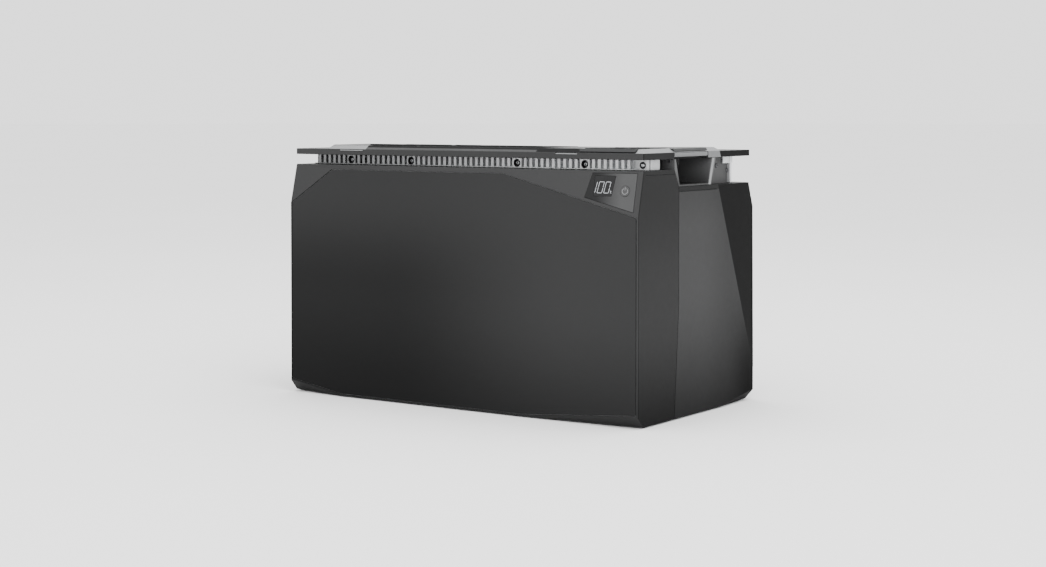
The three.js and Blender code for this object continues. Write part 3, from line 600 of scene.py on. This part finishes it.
def cover_coat(face):
    """0 the case's own coat, 1 the side faces, with darker painted shade, 2 the recess floor, with painted
    light for the seam.
    """
    if abs(face.normal.x) > SIDEWAYS:
        return 1
    return 2 if is_recess_floor(face) else 0


def side_coat(face):
    """0 the side wall, with painted shade, 1 the slanted facet behind it, much darker painted shade, 2 the
    lip above the groove, darker painted shade.
    """
    if abs(face.normal.x) <= SIDEWAYS:
        return 0
    if abs(face.normal.y) > SIDE_LEAN:
        return 1
    return 2 if face.center.z > SIDE_LIP_Z else 0


def add_coats(piece, coats, choose):
    """Gives a piece more coats, and each of its faces the number of one of them."""
    for coat in coats:
        piece.data.materials.append(coat)
    for face in piece.data.polygons:
        face.material_index = choose(face)


def build_case():
    # The covers' side faces take darker painted shade and their recess floor lighter painted light.
    for node, coat in (("front_cover", STRIP_COAT_PAINTED_SHADE), ("back_cover", FACET_PAINTED_SHADE)):
        cover = finished(node, width=0.3, prepare=round_case_corner)
        add_coats(cover, (coat, SEAM_PAINTED_LIGHT), cover_coat)
    # The front panel and the side panels carry painted shade.
    finished("front_panel", FRONT_COAT_PAINTED_SHADE, width=0.45)
    for node in ("right_side_panel", "left_side_panel"):
        panel = finished(node, SIDE_COAT_PAINTED_SHADE, width=0.4, prepare=split_lip)
        add_coats(panel, (FACET_PAINTED_SHADE, LIP_PAINTED_SHADE), side_coat)
    finished("base_plate", width=0.4)
    finished("relief_valve", width=0.5)
    for node in ("foot_front_left", "foot_front_right", "foot_back_left", "foot_back_right"):
        finished(node, width=0.6)


HOLD_MIDDLE_Z = 270 * MM


def hold_coat(face):
    """0 the pocket's walls, lighter with painted shade towards the bottom, 1 its floor, darker painted
    shade.
    """
    return 1 if face.normal.z > 0.5 and face.center.z < HOLD_MIDDLE_Z else 0


def build_neck():
    # The neck and the hand pockets carry painted light and shade; the front heat sink carries painted
    # shade.
    finished("upper_housing", NECK_COAT_PAINTED_LIGHT_AND_SHADE, width=0.4)
    finished("front_heat_sink", FRONT_FINS_PAINTED_SHADE, width=0.3)
    finished("back_heat_sink", width=0.3)
    for node in ("right_handle_frame", "left_handle_frame"):
        add_coats(finished(node, HOLD_COAT_PAINTED_LIGHT_AND_SHADE, width=0.6), (HOLD_FLOOR_PAINTED_SHADE,), hold_coat)


BRIGHT_LEFT_END = -135 * MM
DARK_RIM_START = 104 * MM
BRIGHT_RIGHT_START = 231 * MM
GREY_RIM_TOP = 292.2 * MM
NOTCH_TOP = 290.2 * MM
NOTCH_BACK_Y = -100 * MM
FRONT_RIM_BACK_Y = -90 * MM


def split_trim(bm):
    """Cuts the trim where its bright pieces end, and along its rim."""
    for x in (BRIGHT_LEFT_END, DARK_RIM_START, BRIGHT_RIGHT_START):
        split_at(bm, (x, 0, 0), (1, 0, 0))
    split_at(bm, (0, 0, GREY_RIM_TOP), (0, 0, 1))


def trim_coat(face):
    """0 bright, 1 grey, 2 as dark as the deck."""
    centre = face.center
    in_notch = centre.z < NOTCH_TOP and centre.y < NOTCH_BACK_Y
    at_front = centre.y < FRONT_RIM_BACK_Y
    bright_left = centre.x < BRIGHT_LEFT_END and at_front
    if in_notch or bright_left or centre.x > BRIGHT_RIGHT_START:
        return 0
    dark = centre.z > GREY_RIM_TOP or (centre.x > DARK_RIM_START and at_front)
    return 2 if dark else 1


def plate_coat(face):
    """0 the plate's own plastic, 1 its end faces, darker as painted shade."""
    return 1 if abs(face.normal.x) > 0.3 and abs(face.normal.z) < 0.3 else 0


def build_top():
    add_coats(finished("top_plate", width=0.5), (PLATE_END_PAINTED_SHADE,), plate_coat)
    finished("top_deck", width=0.35)
    trim = finished("deck_trim", width=0.25, prepare=split_trim)
    add_coats(trim, (DARK_TRIM, COVER_PLASTIC), trim_coat)
    finished("right_grip", width=0.7, segments=3)
    finished("left_grip", width=0.7, segments=3)
    for cover in ("switch_cover", "port_cover", "terminal_cover"):
        finished(cover, COVER_PLASTIC, width=0.35)
        finished(f"{cover}_pin", width=0.15)


def build_controls():
    finished("display_bezel", width=0.15)
    finished("display_lens", width=0.2)
    finished("power_button", width=0.15)
    finished("breaker_body", width=0.4)
    finished("breaker_toggle", width=0.5, segments=3)
    finished("comm_ports", width=0.2)
    finished("signal_terminals", width=0.2)
    finished("terminal_block", width=0.4)
    finished("positive_terminal", width=0.25)
    finished("negative_terminal", width=0.25)


# ---------------------------------------------------------------- fasteners
FIN_BOSSES = (-171.12, -81.84, 66.96, 156.24)
BOSS_FLOOR = 97.0
HEAT_SINK_FACE = 101.0
END_TOOTH = {-1: 229.4, 1: 221.6}
BOSS_SCREW_Z = 277.05
RING_STEPS = 28
# Sections as (radius, height) in mm.
# The boss cup is a dark lining put in each boss pocket as painted shade.
BOSS_SHADE_CUP = ((2.7, 0), (4.35, 0), (4.4, 3.4), (4.1, 3.4), (4.0, 0.5), (2.7, 0.4))
END_WASHER = ((2.2, -0.2), (3.9, -0.2), (3.9, 0.1), (2.2, 0.1))

NECK_END_X = 226
NECK_END_SCREWS = ((66.5, 272.6), (91.7, 266.8))
END_PAD_SCREW = (234.5, -53.7, 280.3)

BASE_BOTTOM = 1.4
BASE_SCREWS = (
    [(x, y) for x in (-225, -75, 75, 225) for y in (-36, 36)]
    + [(x, y) for x in (-150, 0, 150) for y in (-112, 112)]
)
BACK_FACE = 130
BACK_SCREW_XS = (-222, -74, 74, 222)
BACK_SCREW_Z = 12


def liner(bm, section, spot, normal):
    """Ring with an open middle, from a section in mm."""
    profile = [(radius * MM, height * MM) for radius, height in section]
    rings(bm, profile, RING_STEPS, facing(spot, normal), hole=True)


def build_neck_screws():
    heads = bmesh.new()
    shade_cups_and_washers = bmesh.new()
    for side in (-1, 1):
        outward = (0, side, 0)
        for x in FIN_BOSSES:
            spot = (-side * x, side * BOSS_FLOOR, BOSS_SCREW_Z)
            screw(heads, spot, outward, radius=2.5, height=2.4)
            # Dark cup lining the boss pocket: painted shade in the foot rubber's colour.
            liner(shade_cups_and_washers, BOSS_SHADE_CUP, spot, outward)
        spot = (-side * END_TOOTH[side], side * HEAT_SINK_FACE, BOSS_SCREW_Z)
        screw(heads, spot, outward, radius=2.3, height=0.7)
        liner(shade_cups_and_washers, END_WASHER, spot, outward)
    make_piece("neck_screws", heads, BRIGHT_STEEL)
    make_piece("neck_screw_shade_cups_and_washers", shade_cups_and_washers, LOOK["rubber"])


def build_neck_end_screws():
    heads = bmesh.new()
    pad_x, pad_y, pad_z = END_PAD_SCREW
    for side in (-1, 1):
        for y, z in NECK_END_SCREWS:
            screw(heads, (side * NECK_END_X, y, z), (side, 0, 0), radius=2.4, height=1.3)
        screw(heads, (side * pad_x, pad_y, pad_z), (0, -1, 0), radius=1.4, height=0.5)
    make_piece("neck_end_screws", heads, DARK_STEEL)


def build_case_screws():
    under = bmesh.new()
    for x, y in BASE_SCREWS:
        flat_screw(under, (x, y, BASE_BOTTOM), (0, 0, -1), radius=2.6)
    make_piece("base_screws", under, DARK_STEEL)

    back = bmesh.new()
    for x in BACK_SCREW_XS:
        screw(back, (x, BACK_FACE, BACK_SCREW_Z), (0, 1, 0), radius=2.6, height=1.4)
    make_piece("back_cover_screws", back, DARK_STEEL)


# ---------------------------------------------------------------- display
FACET_NORMAL = Vector((0.0575, -0.9732, 0.2226))
FACET_RIGHT = Vector((0.9983, 0.0589, 0.0))
FACET_UP = FACET_NORMAL.cross(FACET_RIGHT)
FACET_CENTRE = Vector((208, -125.86, 250)) * MM
FACET_TURN = Matrix((FACET_RIGHT, FACET_UP, FACET_NORMAL)).transposed().to_4x4()
FACET_PLACE = Matrix.Translation(FACET_CENTRE) @ FACET_TURN
LENS_FACE = 0.25
BUTTON_FACE = 0.7
PRINT_THICKNESS = 0.05

# Digits stand in the display's plane, in mm: width, height, stroke, and lean with height.
DIGITS = (("1", -27.5), ("0", -19.2), ("0", -11.2))
DIGIT_BASE = -2.2
DIGIT_SIZE = (5.6, 12.0)
DIGIT_STROKE = 0.5
DIGIT_LEAN = 0.17
SEGMENT_GAP = 0.12

PERCENT_RINGS = ((-3.4, 0.0), (-2.5, -1.9))
PERCENT_RING = (0.35, 0.25)
PERCENT_BAR = ((-3.5, -2.2), (-2.3, 0.3))
PERCENT_STROKE = 0.25
FULL_TURN = (0, 359.9)

# Power icon: an open ring with a bar in its gap.
BUTTON_CENTRE = (14.3, 0.2)
ICON_RING = (3.2, 0.5)
ICON_TURN = (122, 418)
ICON_BAR = (0.8, 4.5)

SEGMENTS = {
    "a": ((0, 2), (1, 2)), "b": ((1, 2), (1, 1)), "c": ((1, 1), (1, 0)), "d": ((0, 0), (1, 0)),
    "e": ((0, 1), (0, 0)), "f": ((0, 2), (0, 1)), "g": ((0, 1), (1, 1)),
}
DIGIT_SEGMENTS = {"0": "abcdef", "1": "bc"}


def bar_points(start, end, thickness):
    """A six-cornered bar from start to end, with pointed ends."""
    (x0, y0), (x1, y1) = start, end
    length = math.hypot(x1 - x0, y1 - y0)
    dx = (x1 - x0) / length
    dy = (y1 - y0) / length
    h = thickness / 2
    x0, y0 = x0 + dx * SEGMENT_GAP, y0 + dy * SEGMENT_GAP
    x1, y1 = x1 - dx * SEGMENT_GAP, y1 - dy * SEGMENT_GAP
    return [
        (x0, y0),
        (x0 + dx * h - dy * h, y0 + dy * h + dx * h),
        (x1 - dx * h - dy * h, y1 - dy * h + dx * h),
        (x1, y1),
        (x1 - dx * h + dy * h, y1 - dy * h - dx * h),
        (x0 + dx * h + dy * h, y0 + dy * h - dx * h),
    ]


def printed(bm, points, face):
    """Thin raised print on a face of the display."""
    prism(bm, points, FACET_PLACE, face, face + PRINT_THICKNESS)


def digit(bm, name, left):
    width, height = DIGIT_SIZE
    for key in DIGIT_SEGMENTS[name]:
        start, end = [(x * width, y * height / 2) for x, y in SEGMENTS[key]]
        bar = bar_points(start, end, DIGIT_STROKE)
        printed(bm, [(left + x + DIGIT_LEAN * y, DIGIT_BASE + y) for x, y in bar], LENS_FACE)


def arc_band(bm, centre, ring, turn, face, steps):
    """Printed ring or arc; ring is (radius, stroke) in mm, turn its first and last angle in degrees."""
    radius, stroke = ring
    start, end = turn
    rays = []
    for step in range(steps + 1):
        angle = math.radians(start + (end - start) * step / steps)
        rays.append((math.cos(angle), math.sin(angle)))
    outer, inner = [
        [(centre[0] + x * reach, centre[1] + y * reach) for x, y in rays]
        for reach in (radius + stroke / 2, radius - stroke / 2)
    ]
    for index in range(steps):
        printed(bm, [outer[index], outer[index + 1], inner[index + 1], inner[index]], face)
    bmesh.ops.remove_doubles(bm, verts=bm.verts[:], dist=1e-6)


def build_display():
    number = bmesh.new()
    for name, left in DIGITS:
        digit(number, name, left)
    make_piece("charge_digits", number, LIGHT_SEGMENT)

    percent = bmesh.new()
    for centre in PERCENT_RINGS:
        arc_band(percent, centre, PERCENT_RING, FULL_TURN, LENS_FACE, steps=12)
    printed(percent, bar_points(*PERCENT_BAR, PERCENT_STROKE), LENS_FACE)
    make_piece("percent_mark", percent, LIGHT_SEGMENT)

    icon = bmesh.new()
    arc_band(icon, BUTTON_CENTRE, ICON_RING, ICON_TURN, BUTTON_FACE, steps=28)
    u, v = BUTTON_CENTRE
    half = ICON_RING[1] / 2
    low, high = ICON_BAR
    printed(icon, [(u - half, v + low), (u + half, v + low), (u + half, v + high), (u - half, v + high)],
            BUTTON_FACE)
    make_piece("power_icon", icon, ICON_PAINT, body="power_button")


# ---------------------------------------------------------------- end trim
# The trim's inner and outer X, and its outlines as (y, z) in mm.
END_TRIM_X = (240.9, 241.7)
HOLD_EDGE = ((29.4, 282.6), (34.2, 282.6), (20.4, 253.2), (25.2, 253.2))
PLATE_END_CAP = ((20.2, 283.1), (20.2, 289.9), (46, 289.9), (49, 283.1))


def end_trim(name, side, outline, slot):
    bm = bmesh.new()
    hull_piece(bm, [(side * x, y, z) for x in END_TRIM_X for y, z in outline])
    soften(make_piece(name, bm, LOOK[slot]), width=0.2)


def build_end_trim():
    """Light rear edge of each hand hold, and the light cap above it on the plate's end."""
    for side, name in ((1, "right"), (-1, "left")):
        end_trim(f"{name}_hold_edge", side, HOLD_EDGE, "trim")
        end_trim(f"{name}_plate_end_cap", side, PLATE_END_CAP, "grip")


# ---------------------------------------------------------------- fittings in the wells
TERMINAL_RING = (8.6, 10.2)
TERMINAL_RING_Z = (266.2, 268.4, 268.9)
TERMINAL_RING_STEPS = 32
SIGNAL_SCREW_COUNT = 8
SIGNAL_SCREW_BACK = 3.4
SIGNAL_SCREW_SUNK = 0.1


def terminal_ring(node, material):
    """Insulating ring round a terminal, with a broken outer edge."""
    low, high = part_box(node)
    centre = (low + high) / 2
    inner, outer = (radius * MM for radius in TERMINAL_RING)
    base, shoulder, top = (z * MM for z in TERMINAL_RING_Z)
    broken = outer - (top - shoulder)
    section = [(inner, base), (outer, base), (outer, shoulder), (broken, top), (inner, top)]
    bm = bmesh.new()
    rings(bm, section, TERMINAL_RING_STEPS, Matrix.Translation((centre.x, centre.y, 0)), hole=True)
    make_piece(f"{node}_ring", bm, material)


def signal_screws():
    low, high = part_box("signal_terminals")
    low, high = low / MM, high / MM
    step = (high.x - low.x) / SIGNAL_SCREW_COUNT
    y = (low.y + high.y) / 2 + SIGNAL_SCREW_BACK
    bm = bmesh.new()
    for index in range(SIGNAL_SCREW_COUNT):
        spot = (low.x + step * (index + 0.5), y, high.z - SIGNAL_SCREW_SUNK)
        screw(bm, spot, (0, 0, 1), radius=1.5, height=0.5)
    make_piece("signal_screws", bm, BRIGHT_STEEL)


# ---------------------------------------------------------------- inner pieces keep their CAD form
def dress_inner_nodes():
    """Gives every CAD node the coat of its slot."""
    for node, obj in NODES.items():
        look = LOOK[SLOT_OF[node]]
        obj.data.materials.clear()
        obj.data.materials.append(look)


# ---------------------------------------------------------------- studio
FLOOR_RADIUS = 40
STUDIO_CENTRE = (0, 0, 0.2)
# Light of the room from the horizon up.
HORIZON_LIGHT = 1.95
ZENITH_LIGHT = 2.3
ZENITH_START = 0.9


def build_floor():
    bm = bmesh.new()
    bmesh.ops.create_circle(bm, cap_ends=True, segments=96, radius=FLOOR_RADIUS)
    mesh = bpy.data.meshes.new("studio_floor")
    bm.to_mesh(mesh)
    bm.free()
    floor = bpy.data.objects.new("studio_floor", mesh)
    bpy.context.scene.collection.objects.link(floor)
    mesh.materials.append(floor_finish("studio_floor_matt"))


def softbox(name, location, size, power):
    """Rectangular lamp aimed at the middle of the part."""
    light = bpy.data.lights.new(name, "AREA")
    light.shape = "RECTANGLE"
    light.size, light.size_y = size
    light.energy = power
    lamp = bpy.data.objects.new(name, light)
    lamp.location = location
    lamp.rotation_mode = "QUATERNION"
    lamp.rotation_quaternion = (Vector(STUDIO_CENTRE) - Vector(location)).to_track_quat("-Z", "Y")
    bpy.context.scene.collection.objects.link(lamp)


def build_world():
    world = bpy.data.worlds.new("studio_world")
    world.use_nodes = True
    background = world.node_tree.nodes["Background"]
    background.inputs["Color"].default_value = (1, 1, 1, 1)
    place = world.node_tree.nodes.new("ShaderNodeTexCoord")
    split = world.node_tree.nodes.new("ShaderNodeSeparateXYZ")
    rise = world.node_tree.nodes.new("ShaderNodeMapRange")
    rise.inputs["From Min"].default_value = 0.0
    rise.inputs["From Max"].default_value = ZENITH_START
    rise.inputs["To Min"].default_value = HORIZON_LIGHT
    rise.inputs["To Max"].default_value = ZENITH_LIGHT
    world.node_tree.links.new(place.outputs["Generated"], split.inputs["Vector"])
    world.node_tree.links.new(split.outputs["Z"], rise.inputs["Value"])
    world.node_tree.links.new(rise.outputs["Result"], background.inputs["Strength"])
    bpy.context.scene.world = world


def build_studio():
    build_world()
    build_floor()
    softbox("overhead", (0.2, 0.1, 2.4), (2.6, 2.0), 45)
    softbox("right_key", (2.2, -1.2, 1.7), (1.2, 1.4), 30)
    softbox("front_fill", (-0.4, -2.6, 1.6), (1.6, 1.0), 14)


SENSOR_WIDTH = 36
LENS_LENGTH = 64.12
LENS_SHIFT = (-0.0008, -0.12)
CAMERA_AT = (1.2441, -1.7988, 0.3373)
CAMERA_TURN = 34.52
CAMERA_DIP = 1.52


def build_camera():
    data = bpy.data.cameras.new("camera")
    data.sensor_width = SENSOR_WIDTH
    data.lens = LENS_LENGTH
    data.shift_x, data.shift_y = LENS_SHIFT
    camera = bpy.data.objects.new("camera", data)
    camera.location = CAMERA_AT
    camera.rotation_euler = (math.radians(90 - CAMERA_DIP), 0, math.radians(CAMERA_TURN))
    bpy.context.scene.collection.objects.link(camera)
    bpy.context.scene.camera = camera


build_case()
build_neck()
build_top()
build_controls()
build_neck_screws()
build_neck_end_screws()
build_case_screws()
build_display()
build_end_trim()
terminal_ring("positive_terminal", RED_PLASTIC)
terminal_ring("negative_terminal", BLACK_PLASTIC)
signal_screws()
dress_inner_nodes()
build_studio()
build_camera()
